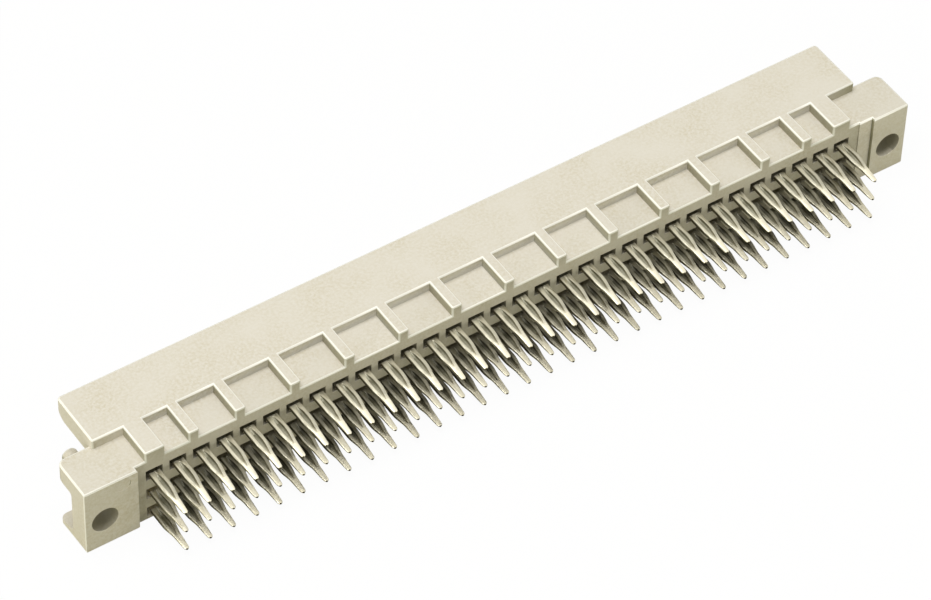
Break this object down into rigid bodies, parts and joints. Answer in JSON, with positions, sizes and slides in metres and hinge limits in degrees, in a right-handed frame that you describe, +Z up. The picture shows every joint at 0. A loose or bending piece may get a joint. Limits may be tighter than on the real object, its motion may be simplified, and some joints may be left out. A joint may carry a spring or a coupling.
{
  "type": "multi-pin connector",
  "caption": "Long multi-row socket connector for circuit boards, a moulded housing with press-in contact tails on the rear and a fixing ear at each end",
  "frame": {"origin": "middle of the underside of the whole part, on the surface that it lies on", "axes": "+X along the contact rows, +Y out of the mating face, the way the plug leaves, +Z up from the flat underside towards the shelf"},
  "size_m": [0.0942, 0.016, 0.0093],
  "materials": {
    "housing_plastic": "glass-fibre filled thermoplastic in light beige, fine moulded grain",
    "contact_plating": "stamped copper alloy with a bright tin plating"
  },
  "bodies": {
    "root": {"housing": "housing_plastic", "contact_column_01": "contact_plating", "contact_column_02": "contact_plating", "contact_column_03": "contact_plating", "contact_column_04": "contact_plating", "contact_column_05": "contact_plating", "contact_column_06": "contact_plating", "contact_column_07": "contact_plating", "contact_column_08": "contact_plating", "contact_column_09": "contact_plating", "contact_column_10": "contact_plating", "contact_column_11": "contact_plating", "contact_column_12": "contact_plating", "contact_column_13": "contact_plating", "contact_column_14": "contact_plating", "contact_column_15": "contact_plating", "contact_column_16": "contact_plating", "contact_column_17": "contact_plating", "contact_column_18": "contact_plating", "contact_column_19": "contact_plating", "contact_column_20": "contact_plating", "contact_column_21": "contact_plating", "contact_column_22": "contact_plating", "contact_column_23": "contact_plating", "contact_column_24": "contact_plating", "contact_column_25": "contact_plating", "contact_column_26": "contact_plating", "contact_column_27": "contact_plating", "contact_column_28": "contact_plating", "contact_column_29": "contact_plating", "contact_column_30": "contact_plating", "contact_column_31": "contact_plating", "contact_column_32": "contact_plating"}
  },
  "joints": []
}
